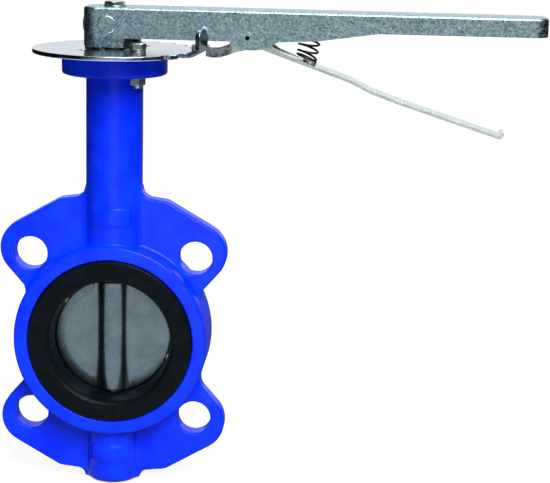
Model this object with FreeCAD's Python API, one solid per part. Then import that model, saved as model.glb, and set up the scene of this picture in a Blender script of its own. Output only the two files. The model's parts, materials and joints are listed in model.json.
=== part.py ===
import FreeCAD, Part
import math
import os

from FreeCAD import Rotation, Vector

# Lever-operated wafer butterfly valve, DN80, drawn closed.
# Millimetres. X runs along the handle, Y along the pipe, Z along the stem.
# The origin is the centre of the bore, where the pipe axis meets the stem axis.

# ---- pipe interface -------------------------------------------------------
BOLT_CIRCLE_D = 160.0
LINE_HOLE_D = 23.0
LINE_HOLE_X = BOLT_CIRCLE_D / 2 * math.cos(math.radians(45))
BORE_R = 40.2
BORE_MOUTH_R = 42.6
BORE_STRAIGHT_HALF = 10.0
LINER_FACE_Y = 24.5
LINER_LIP_R = 56.1
LINER_BACK_R = 49.3
LINER_EDGE = 1.2
# Rounding of the liner's mouth: radius past the mouth, and depth below the face.
LINER_MOUTH = ((-1.0, 3.2), (0.2, 1.0), (1.9, 0.0))

# ---- cast body ------------------------------------------------------------
RING_R = 66.0
RING_HALF = 23.0
RING_BORE_R = 49.5
LIP_RECESS_R = 56.4
LIP_RECESS_Y = 19.2
LUG_HALF = 7.0
EAR_R = 20.2
EAR_X = 57.5
EAR_Z = 59.8
EAR_WAIST_ANGLE = -41.0
WAIST_R = 10.0
APEX_X = 37.0
APEX_Z = 95.0
APEX_R = 5.0
SHOULDER_Z = 96.4
SHOULDER_R = 8.0
LOWER_SHOULDER_R = 5.5
NECK_R = 19.2
BOSS_R = 18.8
BOSS_END_Z = -103.5
BOSS_ROUND = 5.0
FLANGE_R = 35.4
FLANGE_BOTTOM_Z = 180.4
FLANGE_TOP_Z = 194.5
PAD_HALF_W = 13.0
PAD_HEIGHT = 11.0
PAD_RISE = 0.9
PAD_Z = (85.0, -82.0)
CAST_EDGE_R = 1.5
CAST_BLEND_R = 3.0
NECK_BLEND_R = 5.0

# ---- stem and its bearings ------------------------------------------------
STEM_R = 7.0
SQUARE = 11.0
RUNNING = 0.05
STATIC_GAP = 0.02
NECK_BORE_R = 9.0
UPPER_STEM_Z = (12.0, 221.5)
STEM_SQUARE_LENGTH = 12.0
STEM_CHAMFER = 0.8
STEM_END_ROOM = 0.3
TOP_SQUARE_Z = 198.0
LOWER_STEM_Z = (-89.0, -20.0)
MIDDLE_BUSHING_Z = (51.0, 75.0)
UPPER_BUSHING_Z = (150.0, 181.0)
LOWER_BUSHING_Z = (-84.0, -51.0)
O_RING_Z = (182.3, 184.6)
O_RING_SECTION_R = 0.95
COUNTERBORE_R = 12.0
COUNTERBORE_Z = 185.8
WASHER_R = 11.8
THRUST_WASHER_Z = (185.8, 189.2)
THRUST_WASHER_T = 1.0
SPLIT_RING_Z = (187.0, 189.0)
SPLIT_RING_R = 10.5
STEM_GROOVE_R = 5.6
CIRCLIP_Z = (190.3, 191.3)
CIRCLIP_R = 12.9
CIRCLIP_INNER_R = 10.0
CIRCLIP_GAP = 9.0
CIRCLIP_ROOM = 0.1
PLUG_Z = (-103.2, -92.0)
PLUG_GROOVE_Z = (-96.0, -93.9)
PLUG_SOCKET_AF = 8.0
PLUG_SOCKET_DEPTH = 6.0

# ---- disc -----------------------------------------------------------------
DISC_R = 39.9
DISC_CENTRE_HALF = 4.5
DISC_EDGE_HALF = 3.9
DISC_SHOULDER_R = 33.0
DISC_SHOULDER_DROP = 0.1
HUB_R = 10.5
HUB_BLEND_R = 7.0

# ---- notch plate and its fasteners ----------------------------------------
PLATE_R = 55.0
PLATE_T = 3.0
PLATE_CHAMFER = 0.4
PLATE_Z = FLANGE_TOP_Z
PLATE_TOP_Z = PLATE_Z + PLATE_T
F05_CIRCLE_D = 50.0
F05_HOLE_R = 3.5
F05_X = F05_CIRCLE_D / 2 * math.cos(math.radians(45))
PLATE_BOLT_SITES = ((F05_X, -F05_X), (-F05_X, F05_X))
NOTCH_PITCH = 15.0
NOTCH_ANGLES = [-45.0, -30.0] + [NOTCH_PITCH * i for i in range(7)]
NOTCH_W = 7.0
NOTCH_ROOT_R = 51.4
TAB_ANGLE = -20.0
TAB_W = 13.0
TAB_NECK_W = 8.0
TAB_T = 3.0
TAB_R = 62.5
TAB_TOP_Z = 214.0
TAB_SHOULDER_Z = 200.0
TAB_BEND_R = 1.2
TAB_BEND_Z = 0.6
PLATE_BOLT_TURNS = (33.0, -3.0)
M6_R = 2.95
M6_AF = 10.0
M6_HEAD_H = 4.0
M6_NUT_H = 5.0
M6_TAIL = 2.0
HEX_CROWN = 0.47
HEX_CROWN_SLOPE = 1.7
SPRING_WASHER_T = 1.6
SPRING_WASHER_R = 5.4
SPRING_WASHER_GAP = 1.2

# ---- handle ---------------------------------------------------------------
LEVER_LEFT_X = -20.0
LEVER_RIGHT_X = 286.5
LEVER_HALF = 13.5
LEVER_T = 2.5
LEVER_CORNER_R = 9.0
LEVER_TOP_Z = 225.5
LEVER_EDGE_R = 1.8
LEVER_FOOT_Z = 199.2
LEVER_STEP_X = 7.0
LEVER_SKIRT_Z = 205.2
LEVER_TAIL_Z = 213.0
PIVOT_X = 89.5
PIVOT_Z = 207.8
BLOCK_RIGHT_X = 17.0
BLOCK_CORNER_R = 6.0
BLOCK_GAP = 0.05
BLOCK_TOP_Z = 222.9
HUB_RIVET_SIDE = (-3.7, 214.1)
HUB_RIVET_END_Z = 213.5
HUB_RIVET_HEAD_R = 6.0
HUB_RIVET_END_HEAD_R = 5.0
HUB_RIVET_SHANK_R = 3.0
HUB_RIVET_HEAD_T = 0.9
HUB_RIVET_DEPTH = 3.5
LEVER_BOLT_R = 3.9
LEVER_HOLE_R = 4.2
LEVER_BOLT_AF = 13.0
LEVER_BOLT_HEAD_H = 2.6
LEVER_WASHER_R = 7.6
LEVER_WASHER_T = 0.8
LEVER_BOLT_DEPTH = 23.0

# ---- trigger --------------------------------------------------------------
TRIGGER_HALF = 10.6
TRIGGER_T = 2.0
PIN_R = 3.0
PIN_HEAD_R = 3.9
PIN_HEAD_T = 0.4
PIN_DIMPLE_R = 1.4
PIN_DIMPLE_DEPTH = 5.0
EAR_ROUND_R = 7.5
TONGUE_W = 6.4
TONGUE_TOP_Z = 201.3
TONGUE_TIP_X = 51.8
TOOTH_BOTTOM_Z = 195.0
# Underside of the trigger's sheet in side view, from its front edge to the start of the curled tip.
TRIGGER_UNDERSIDE = [
    (61.3, 194.0), (66.0, 193.4), (71.0, 193.9), (76.0, 195.6), (81.0, 197.8), (88.0, 199.4),
    (99.2, 200.0), (157.0, 180.0), (171.0, 173.2), (188.0, 167.0), (256.5, 145.4),
]
# The side walls follow the underside as far as the heel, then close along this line.
TRIGGER_HEEL = 6
TRIGGER_CHEEK = [
    (125.4, 190.9), (126.1, 192.8), (116.4, 196.7), (110.3, 199.3), (97.0, 208.2),
    (95.0, 212.8), (84.0, 212.8), (79.5, 204.0), (75.0, 200.9), (70.0, 199.3), (65.0, 199.2), (61.3, 200.0),
]
TRIGGER_FRONT_X, TRIGGER_FRONT_Z = TRIGGER_UNDERSIDE[0]
TRIGGER_FRONT_HALF = 3.2
TRIGGER_NECK_X = 79.0
TRIGGER_END_X = 270.0
CURL_R = 3.2
CURL_TURN = 125.0
SPRING_X = 129.5
SPRING_MEAN_R = 6.8
SPRING_WIRE_R = 0.7
SPRING_Z = (195.4, 222.1)
SPRING_TURNS = 5.5
SPRING_SEAT_R = 4.6
SPRING_SEAT_H = 2.4


# ---- drawing helpers ------------------------------------------------------
def cylinder_z(radius, z0, z1, x=0.0, y=0.0):
    return Part.makeCylinder(radius, z1 - z0, Vector(x, y, z0))


def tube_z(inner, outer, z0, z1, x=0.0, y=0.0):
    return cylinder_z(outer, z0, z1, x, y).cut(cylinder_z(inner, z0, z1, x, y))


def cylinder_y(radius, y0, y1, x=0.0, z=0.0):
    return Part.makeCylinder(radius, y1 - y0, Vector(x, y0, z), Vector(0, 1, 0))


def box(x0, x1, y0, y1, z0, z1):
    return Part.makeBox(x1 - x0, y1 - y0, z1 - z0, Vector(x0, y0, z0))


def solid_of(shape):
    """One clean solid, with the seams between coplanar faces removed."""
    return shape.removeSplitter().Solids[0]


def prism_y(points, y0, y1):
    """Extrude an (x, z) polygon along Y."""
    corners = [Vector(x, y0, z) for x, z in points]
    face = Part.Face(Part.makePolygon(corners + corners[:1]))
    return face.extrude(Vector(0, y1 - y0, 0))


def prism_of_edges(edges, direction):
    return Part.Face(Part.Wire(edges)).extrude(direction)


def revolve_about_y(points):
    """Turn an (r, y) polygon about the pipe axis."""
    corners = [Vector(r, y, 0) for r, y in points]
    face = Part.Face(Part.makePolygon(corners + corners[:1]))
    return face.revolve(Vector(0, 0, 0), Vector(0, 1, 0), 360)


def hex_prism(across_flats, z0, z1, x=0.0, y=0.0, flat_angle=0.0):
    """Hexagon on Z with the middle of one flat at flat_angle."""
    corner_r = across_flats / math.sqrt(3)
    angles = [math.radians(flat_angle + 30 + 60 * i) for i in range(7)]
    corners = [Vector(x + corner_r * math.cos(a), y + corner_r * math.sin(a), z0) for a in angles]
    return Part.Face(Part.makePolygon(corners)).extrude(Vector(0, 0, z1 - z0))


def crowned_hex(across_flats, z0, z1, x, y, flat_angle, crown_up=True):
    """Hexagon with the corners of one end turned away, as on a real bolt head or nut."""
    small = across_flats * HEX_CROWN
    large = small + (z1 - z0) * HEX_CROWN_SLOPE
    ends = (large, small) if crown_up else (small, large)
    crown = Part.makeCone(*ends, z1 - z0, Vector(x, y, z0))
    return hex_prism(across_flats, z0, z1, x, y, flat_angle).common(crown)


def rounded_box(x0, x1, half_y, z0, z1, left_r, right_r):
    """Box with rounded vertical corners: left_r at x0 and right_r at x1."""
    shape = box(x0, x1, -half_y, half_y, z0, z1)
    for x, radius in ((x0, left_r), (x1, right_r)):
        if radius > 0:
            edges = [e for e in shape.Edges if is_vertical_at(e, x)]
            shape = shape.makeFillet(radius, edges)
    return shape


def is_vertical_at(edge, x):
    ends = edge.Vertexes
    return len(ends) == 2 and all(abs(v.X - x) < 1e-6 for v in ends) and abs(ends[0].Y - ends[1].Y) < 1e-6


def radial_z(shape, angle):
    """Turn a shape drawn along +X to an angle about the stem axis."""
    turned = shape.copy()
    turned.rotate(Vector(0, 0, 0), Vector(0, 0, 1), angle)
    return turned


def arc(start, centre, end):
    """The shorter arc about centre, from start to end."""
    middle = (start + end) * 0.5 - centre
    middle.normalize()
    return Part.Arc(start, centre + middle * (start - centre).Length, end).toShape()


def fillet_where(shape, radius, test):
    edges = [e for e in shape.Edges if test(e)]
    return shape.makeFillet(radius, edges)


def mitred_strip(points, thickness):
    """Outline of a bent sheet: the given underside, and the same line moved up by thickness."""
    normals = []
    for (x0, z0), (x1, z1) in zip(points, points[1:]):
        length = math.hypot(x1 - x0, z1 - z0)
        normals.append((-(z1 - z0) / length, (x1 - x0) / length))
    upper = []
    for i, (x, z) in enumerate(points):
        before = normals[max(i - 1, 0)]
        after = normals[min(i, len(normals) - 1)]
        scale = thickness / (1 + before[0] * after[0] + before[1] * after[1])
        upper.append((x + (before[0] + after[0]) * scale, z + (before[1] + after[1]) * scale))
    return list(points) + upper[::-1]


# ---- cast body ------------------------------------------------------------
def lug_quadrant(half, shoulder_r):
    """A quarter of the lug plate: waist, ear round the bolt hole, sloping edge and shoulder."""
    ear = Vector(EAR_X, 0, EAR_Z)
    turn = math.radians(EAR_WAIST_ANGLE)
    outward = Vector(math.cos(turn), 0, math.sin(turn))
    upward = Vector(-math.sin(turn), 0, math.cos(turn))
    waist_out = ear.dot(outward) + EAR_R + WAIST_R
    waist = outward * waist_out + upward * math.sqrt((RING_R + WAIST_R) ** 2 - waist_out ** 2)
    on_ring = waist * (RING_R / waist.Length)
    on_waist = waist - outward * WAIST_R
    on_ear = ear + outward * EAR_R

    apex = Vector(APEX_X, 0, APEX_Z)
    to_ear = ear - apex
    half_turn = math.asin(EAR_R / to_ear.Length)
    slope_angle = math.atan2(to_ear.z, to_ear.x) + half_turn
    slope = Vector(math.cos(slope_angle), 0, math.sin(slope_angle))
    slope_end = apex + slope * math.sqrt(to_ear.Length ** 2 - EAR_R ** 2)
    ear_far = ear + Vector(EAR_R, 0, 0)

    neck_side = NECK_R - STATIC_GAP
    top_z = SHOULDER_Z + shoulder_r
    shoulder_end = Vector(neck_side + shoulder_r, 0, SHOULDER_Z)
    shoulder_top = Vector(neck_side, 0, top_z)
    shoulder_centre = Vector(neck_side + shoulder_r, 0, top_z)
    axis_top = Vector(0, 0, top_z)
    middle = Vector(0, 0, 0)
    inside_ring = Vector(RING_R - LUG_HALF, 0, 0)
    edges = [
        arc(on_ring, waist, on_waist),
        Part.makeLine(on_waist, on_ear),
        arc(on_ear, ear, ear_far),
        arc(ear_far, ear, slope_end),
        Part.makeLine(slope_end, apex),
        Part.makeLine(apex, shoulder_end),
        arc(shoulder_end, shoulder_centre, shoulder_top),
        Part.makeLine(shoulder_top, axis_top),
        Part.makeLine(axis_top, middle),
        Part.makeLine(middle, inside_ring),
        Part.makeLine(inside_ring, on_ring),
    ]
    plate = prism_of_edges(edges, Vector(0, 2 * half, 0))
    plate.translate(Vector(0, -half, 0))
    return fillet_where(plate, APEX_R, lambda e: is_across_at(e, apex))


def is_across_at(edge, corner):
    """An edge that crosses the plate's thickness at the given corner of its outline."""
    return all(math.hypot(v.X - corner.x, v.Z - corner.z) < 1e-6 for v in edge.Vertexes)


def lug_plate(half):
    upper = lug_quadrant(half, SHOULDER_R)
    lower = lug_quadrant(half, LOWER_SHOULDER_R).mirror(Vector(0, 0, 0), Vector(0, 0, 1))
    right = upper.fuse(lower)
    plate = right.fuse(right.mirror(Vector(0, 0, 0), Vector(1, 0, 0)))
    return solid_of(plate)


def name_pad(z, radius):
    """Blank raised pad cast on the front of a round part."""
    band = tube_z(radius - 1.0, radius + PAD_RISE, z - PAD_HEIGHT / 2, z + PAD_HEIGHT / 2)
    window = box(-PAD_HALF_W, PAD_HALF_W, -2 * radius, 0, z - PAD_HEIGHT / 2, z + PAD_HEIGHT / 2)
    return band.common(window)


def make_valve_body():
    ring = cylinder_y(RING_R, -RING_HALF, RING_HALF)
    neck = cylinder_z(NECK_R, 0, FLANGE_BOTTOM_Z + 1)
    boss = cylinder_z(BOSS_R, BOSS_END_Z, 0)
    boss = fillet_where(boss, BOSS_ROUND, lambda e: abs(e.BoundBox.ZMax - BOSS_END_Z) < 0.01)
    flange = cylinder_z(FLANGE_R, FLANGE_BOTTOM_Z, FLANGE_TOP_Z)
    flange = fillet_where(flange, CAST_EDGE_R, is_full_circle)
    ring = fillet_where(ring, CAST_EDGE_R, is_full_circle)
    plate = fillet_where(lug_plate(LUG_HALF), CAST_EDGE_R, is_lug_outline)
    pads = [name_pad(z, r) for z, r in zip(PAD_Z, (NECK_R, BOSS_R))]
    body = ring.fuse([plate, neck, boss, flange, casting_blends()] + pads)

    body = body.cut(cylinder_y(RING_BORE_R, -RING_HALF - 1, RING_HALF + 1))
    for y0, y1 in ((-RING_HALF - 1, -LIP_RECESS_Y), (LIP_RECESS_Y, RING_HALF + 1)):
        body = body.cut(cylinder_y(LIP_RECESS_R, y0, y1))
    cuts = [
        cylinder_z(NECK_BORE_R, 0, FLANGE_TOP_Z + 1),
        cylinder_z(COUNTERBORE_R, COUNTERBORE_Z, FLANGE_TOP_Z + 1),
        cylinder_z(CIRCLIP_R + CIRCLIP_ROOM, CIRCLIP_Z[0] - CIRCLIP_ROOM, CIRCLIP_Z[1] + CIRCLIP_ROOM),
        cylinder_z(NECK_BORE_R, BOSS_END_Z - 1, 0),
    ]
    for x in (-LINE_HOLE_X, LINE_HOLE_X):
        for z in (-LINE_HOLE_X, LINE_HOLE_X):
            cuts.append(cylinder_y(LINE_HOLE_D / 2, -RING_HALF, RING_HALF, x, z))
    for x, y in four_corners(F05_X):
        cuts.append(cylinder_z(F05_HOLE_R, FLANGE_BOTTOM_Z - 1, FLANGE_TOP_Z + 1, x, y))
    return solid_of(body.cut(cuts))


def four_corners(offset):
    return [(x, y) for x in (-offset, offset) for y in (-offset, offset)]


def is_full_circle(edge):
    return edge.isClosed() and edge.Length > 20


def is_lug_outline(edge):
    """An edge of the lug plate that lies in one of its two faces."""
    extent = edge.BoundBox
    return extent.YLength < 1e-6 and abs(abs(extent.YMax) - LUG_HALF) < 1e-6


def casting_blends():
    """Hollow blends that carry the ring, neck and boss into the two faces of the lug plate."""
    r = CAST_BLEND_R
    blends = []
    for side in (-1, 1):
        face_y = side * LUG_HALF
        far_y = side * (LUG_HALF + r)
        root_y = side * (LUG_HALF - 1)
        centre = Vector(RING_R + r, far_y, 0)
        on_ring = Vector(RING_R, far_y, 0)
        on_plate = Vector(RING_R + r, face_y, 0)
        corners = [on_plate, Vector(RING_R + r, root_y, 0), Vector(RING_R - 1, root_y, 0),
                   Vector(RING_R - 1, far_y, 0), on_ring]
        edges = [arc(on_ring, centre, on_plate)]
        edges += [Part.makeLine(a, b) for a, b in zip(corners, corners[1:])]
        blends.append(Part.Face(Part.Wire(edges)).revolve(Vector(0, 0, 0), Vector(0, 1, 0), 360))
    blends += column_blends(NECK_R, LUG_HALF, NECK_BLEND_R, 0, SHOULDER_Z + SHOULDER_R)
    blends += column_blends(BOSS_R, LUG_HALF, r, -SHOULDER_Z - LOWER_SHOULDER_R, 0)
    zone = lug_plate(LUG_HALF + NECK_BLEND_R)
    return blends[0].fuse(blends[1:]).common(zone)


def column_blends(column_r, face_y, blend_r, z0, z1):
    """Hollow blends between a round column on Z and flat faces at +-face_y."""
    blends = []
    centre_y = face_y + blend_r
    centre_x = math.sqrt((column_r + blend_r) ** 2 - centre_y ** 2)
    for sx in (-1, 1):
        for sy in (-1, 1):
            centre = Vector(sx * centre_x, sy * centre_y, z0)
            foot = Vector(sx * centre_x, sy * face_y, z0)
            touch = Vector(centre.x, centre.y, 0) * (column_r / (column_r + blend_r))
            touch.z = z0
            corner = Vector(0, sy * (face_y - 1), z0)
            outer = Vector(sx * centre_x, sy * (face_y - 1), z0)
            edges = [
                arc(foot, centre, touch),
                Part.makeLine(touch, corner),
                Part.makeLine(corner, outer),
                Part.makeLine(outer, foot),
            ]
            blends.append(prism_of_edges(edges, Vector(0, 0, z1 - z0)))
    return blends


# ---- seat liner -----------------------------------------------------------
def make_seat_liner():
    half = [(BORE_R, 0), (BORE_R, BORE_STRAIGHT_HALF)]
    half += [(BORE_MOUTH_R + out, LINER_FACE_Y - depth) for out, depth in LINER_MOUTH]
    half += [
        (LINER_LIP_R - LINER_EDGE, LINER_FACE_Y),
        (LINER_LIP_R, LINER_FACE_Y - LINER_EDGE),
        (LINER_LIP_R, LIP_RECESS_Y + STATIC_GAP),
        (LINER_BACK_R, LIP_RECESS_Y + STATIC_GAP),
    ]
    mirrored = [(r, -y) for r, y in half[:0:-1]]
    liner = revolve_about_y(half + mirrored)
    stem_holes = cylinder_z(STEM_R + RUNNING, -RING_R, RING_R)
    return solid_of(liner.cut(stem_holes))


# ---- disc and stems -------------------------------------------------------
def make_disc():
    edge_r = math.sqrt(DISC_R ** 2 - DISC_EDGE_HALF ** 2)
    front = Vector(0, -DISC_CENTRE_HALF, 0)
    front_shoulder = Vector(DISC_SHOULDER_R, -DISC_CENTRE_HALF + DISC_SHOULDER_DROP, 0)
    front_edge = Vector(edge_r, -DISC_EDGE_HALF, 0)
    back_edge = Vector(edge_r, DISC_EDGE_HALF, 0)
    back_shoulder = Vector(DISC_SHOULDER_R, DISC_CENTRE_HALF - DISC_SHOULDER_DROP, 0)
    back = Vector(0, DISC_CENTRE_HALF, 0)
    profile = Part.Wire([
        Part.makeLine(front, front_shoulder),
        Part.makeLine(front_shoulder, front_edge),
        Part.Arc(front_edge, Vector(DISC_R, 0, 0), back_edge).toShape(),
        Part.makeLine(back_edge, back_shoulder),
        Part.makeLine(back_shoulder, back),
        Part.makeLine(back, front),
    ])
    plate = Part.Face(profile).revolve(Vector(0, 0, 0), Vector(0, 1, 0), 360)
    hub = cylinder_z(HUB_R, -DISC_R, DISC_R)
    hub = hub.fuse(column_blends(HUB_R, DISC_CENTRE_HALF, HUB_BLEND_R, -DISC_R, DISC_R))
    hub = hub.common(Part.makeSphere(DISC_R))
    disc = plate.fuse(hub)
    upper_z0, lower_z1 = UPPER_STEM_Z[0], LOWER_STEM_Z[1]
    round_z0 = upper_z0 + STEM_SQUARE_LENGTH
    half_square = SQUARE / 2 + RUNNING
    socket_z = (upper_z0 - STEM_END_ROOM, round_z0 + 1)
    socket = box(-half_square, half_square, -half_square, half_square, *socket_z)
    socket = socket.common(cylinder_z(STEM_R + RUNNING, *socket_z))
    cuts = [
        socket,
        cylinder_z(STEM_R + RUNNING, round_z0 - STEM_END_ROOM, DISC_R + 1),
        cylinder_z(STEM_R + RUNNING, -DISC_R - 1, lower_z1 + STEM_END_ROOM),
    ]
    return solid_of(disc.cut(cuts))


def make_upper_stem():
    z0, z1 = UPPER_STEM_Z
    round_z0 = z0 + STEM_SQUARE_LENGTH
    stem = cylinder_z(STEM_R, z0, z1)
    half = SQUARE / 2
    for low, high in ((z0 - 1, round_z0), (TOP_SQUARE_Z, z1 + 1)):
        flats = box(-2 * half, 2 * half, -2 * half, 2 * half, low, high)
        stem = stem.cut(flats.cut(box(-half, half, -half, half, low, high)))
    groove = tube_z(STEM_GROOVE_R, STEM_R + 1, SPLIT_RING_Z[0] - RUNNING, SPLIT_RING_Z[1] + RUNNING)
    thread = cylinder_z(LEVER_BOLT_R + RUNNING, LEVER_TOP_Z - LEVER_BOLT_DEPTH - 1, z1 + 1)
    return solid_of(stem.cut([groove, thread]))


def make_lower_stem():
    stem = cylinder_z(STEM_R, *LOWER_STEM_Z)
    return stem.makeChamfer(STEM_CHAMFER, [e for e in stem.Edges if is_full_circle(e)])


def make_bushing(z_range):
    return tube_z(STEM_R + RUNNING, NECK_BORE_R - STATIC_GAP, *z_range)


def make_stem_o_rings():
    centre_r = STEM_R + RUNNING + O_RING_SECTION_R
    rings = [Part.makeTorus(centre_r, O_RING_SECTION_R, Vector(0, 0, z)) for z in O_RING_Z]
    return Part.makeCompound(rings)


def make_thrust_washers():
    washers = [tube_z(STEM_R + RUNNING, WASHER_R, z, z + THRUST_WASHER_T) for z in THRUST_WASHER_Z]
    return Part.makeCompound(washers)


def make_split_ring():
    """Two half rings that sit in the stem's groove."""
    ring = tube_z(STEM_GROOVE_R + RUNNING, SPLIT_RING_R, *SPLIT_RING_Z)
    front = ring.cut(box(-CIRCLIP_R, CIRCLIP_R, -0.2, CIRCLIP_R, *SPLIT_RING_Z))
    back = ring.cut(box(-CIRCLIP_R, CIRCLIP_R, -CIRCLIP_R, 0.2, *SPLIT_RING_Z))
    return Part.makeCompound([front.Solids[0], back.Solids[0]])


def make_retaining_circlip():
    ring = tube_z(CIRCLIP_INNER_R, CIRCLIP_R, *CIRCLIP_Z)
    gap = box(-CIRCLIP_GAP / 2, CIRCLIP_GAP / 2, 0, CIRCLIP_R + 1, *CIRCLIP_Z)
    return solid_of(ring.cut(gap))


def make_bottom_plug():
    z0, z1 = PLUG_Z
    plug = cylinder_z(NECK_BORE_R - RUNNING, z0, z1)
    groove = tube_z(STEM_R, NECK_BORE_R + 1, *PLUG_GROOVE_Z)
    socket = hex_prism(PLUG_SOCKET_AF, z0 - 1, z0 + PLUG_SOCKET_DEPTH)
    return solid_of(plug.cut([groove, socket]))


def make_bottom_plug_seal():
    centre_r = STEM_R + STATIC_GAP + O_RING_SECTION_R
    return Part.makeTorus(centre_r, O_RING_SECTION_R, Vector(0, 0, sum(PLUG_GROOVE_Z) / 2))


# ---- notch plate and its fasteners ----------------------------------------
def make_notch_plate():
    plate = cylinder_z(PLATE_R, PLATE_Z, PLATE_TOP_Z)
    plate = plate.makeChamfer(PLATE_CHAMFER, [e for e in plate.Edges if is_full_circle(e)])
    cuts = [cylinder_z(NECK_BORE_R + 1.0, PLATE_Z - 1, PLATE_TOP_Z + 1)]
    for x, y in four_corners(F05_X):
        cuts.append(cylinder_z(F05_HOLE_R, PLATE_Z - 1, PLATE_TOP_Z + 1, x, y))
    for angle in NOTCH_ANGLES:
        notch = box(NOTCH_ROOT_R, PLATE_R + 1, -NOTCH_W / 2, NOTCH_W / 2, PLATE_Z - 1, PLATE_TOP_Z + 1)
        cuts.append(radial_z(notch, angle))
    return solid_of(plate.cut(cuts).fuse(make_stop_tab()))


def make_stop_tab():
    """Tongue of the plate bent outwards and up, which stops the handle when the valve is closed."""
    root = PLATE_R - 1
    face = TAB_R + TAB_T
    path = [
        (root, PLATE_Z), (PLATE_R + TAB_BEND_R, PLATE_Z), (face, TAB_SHOULDER_Z - TAB_BEND_Z),
        (face, TAB_TOP_Z), (TAB_R, TAB_TOP_Z), (TAB_R, TAB_SHOULDER_Z + TAB_BEND_Z),
        (PLATE_R, PLATE_TOP_Z), (root, PLATE_TOP_Z),
    ]
    tab = prism_y(path, -TAB_W / 2, TAB_W / 2)
    crown_z = TAB_TOP_Z - TAB_W / 2
    neck_zone = box(root, face, -TAB_NECK_W / 2, TAB_NECK_W / 2, PLATE_Z, TAB_SHOULDER_Z)
    head = box(TAB_R, face, -TAB_W / 2, TAB_W / 2, TAB_SHOULDER_Z, crown_z)
    crown = Part.makeCylinder(TAB_W / 2, TAB_T, Vector(TAB_R, 0, crown_z), Vector(1, 0, 0))
    return radial_z(tab.common(neck_zone.fuse([head, crown])), TAB_ANGLE)


def make_plate_bolts():
    bolts = []
    head_z = PLATE_TOP_Z + SPRING_WASHER_T
    tail_z = FLANGE_BOTTOM_Z - M6_NUT_H - M6_TAIL
    for (x, y), turn in zip(PLATE_BOLT_SITES, PLATE_BOLT_TURNS):
        head = crowned_hex(M6_AF, head_z, head_z + M6_HEAD_H, x, y, turn)
        bolts.append(solid_of(head.fuse(cylinder_z(M6_R, tail_z, head_z + 1, x, y))))
    return Part.makeCompound(bolts)


def make_plate_spring_washers():
    washers = []
    for x, y in PLATE_BOLT_SITES:
        ring = tube_z(M6_R + RUNNING, SPRING_WASHER_R, PLATE_TOP_Z, PLATE_TOP_Z + SPRING_WASHER_T, x, y)
        split = box(x, x + SPRING_WASHER_R + 1, y - SPRING_WASHER_GAP / 2, y + SPRING_WASHER_GAP / 2,
                    PLATE_TOP_Z, PLATE_TOP_Z + SPRING_WASHER_T)
        washers.append(solid_of(ring.cut(split)))
    return Part.makeCompound(washers)


def make_plate_nuts():
    nuts = []
    for x, y in PLATE_BOLT_SITES:
        facing_stem = math.degrees(math.atan2(y, x))
        low_z = FLANGE_BOTTOM_Z - M6_NUT_H
        nut = crowned_hex(M6_AF, low_z, FLANGE_BOTTOM_Z, x, y, facing_stem, crown_up=False)
        nuts.append(solid_of(nut.cut(cylinder_z(M6_R + RUNNING, low_z - 1, FLANGE_BOTTOM_Z + 1, x, y))))
    return Part.makeCompound(nuts)


# ---- handle ---------------------------------------------------------------
def lever_side_profile():
    """Side view of the handle: deep over the stem, a round bulge at the pivot, then a slim grip."""
    top = LEVER_TOP_Z
    right, left = LEVER_RIGHT_X + 1, LEVER_LEFT_X - 1
    bulge = [Vector(x, 0, z) for x, z in ((77.0, LEVER_SKIRT_Z), (93.0, 199.8), (109.5, 205.5))]
    heel = [(left, LEVER_FOOT_Z), (LEVER_STEP_X, LEVER_FOOT_Z), (LEVER_STEP_X + 1, LEVER_SKIRT_Z)]
    tail = [(136.0, 206.9), (175.0, LEVER_TAIL_Z - 0.3), (right, LEVER_TAIL_Z)]
    before = [Vector(x, 0, z) for x, z in heel] + bulge[:1]
    after = bulge[-1:] + [Vector(x, 0, z) for x, z in tail + [(right, top), (left, top)]] + before[:1]
    edges = [Part.makeLine(a, b) for a, b in zip(before, before[1:])]
    edges.append(Part.Arc(*bulge).toShape())
    edges += [Part.makeLine(a, b) for a, b in zip(after, after[1:])]
    return edges


def make_lever_channel():
    outer = rounded_box(LEVER_LEFT_X, LEVER_RIGHT_X, LEVER_HALF, LEVER_FOOT_Z - 1, LEVER_TOP_Z,
                        LEVER_CORNER_R, LEVER_CORNER_R)
    outer = fillet_where(outer, LEVER_EDGE_R, lambda e: e.BoundBox.ZMin > LEVER_TOP_Z - 1e-3)
    side = prism_of_edges(lever_side_profile(), Vector(0, 4 * LEVER_HALF, 0))
    side.translate(Vector(0, -2 * LEVER_HALF, 0))
    inner_r = LEVER_CORNER_R - LEVER_T
    inner = rounded_box(LEVER_LEFT_X + LEVER_T, LEVER_RIGHT_X - LEVER_T, LEVER_HALF - LEVER_T,
                        LEVER_FOOT_Z - 2, LEVER_TOP_Z - LEVER_T, inner_r, inner_r)
    side_x, side_z = HUB_RIVET_SIDE
    cuts = [
        inner,
        cylinder_z(LEVER_HOLE_R, LEVER_TOP_Z - LEVER_T - 1, LEVER_TOP_Z + 1),
        cylinder_y(PIN_R + RUNNING, -2 * LEVER_HALF, 2 * LEVER_HALF, PIVOT_X, PIVOT_Z),
        cylinder_y(HUB_RIVET_SHANK_R + RUNNING, -2 * LEVER_HALF, 2 * LEVER_HALF, side_x, side_z),
        end_rivet_cylinder(HUB_RIVET_SHANK_R + RUNNING, LEVER_LEFT_X - 1, LEVER_LEFT_X + LEVER_T + 1),
    ]
    return solid_of(outer.common(side).cut(cuts))


def end_rivet_cylinder(radius, x0, x1):
    return Part.makeCylinder(radius, x1 - x0, Vector(x0, 0, HUB_RIVET_END_Z), Vector(1, 0, 0))


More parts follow.
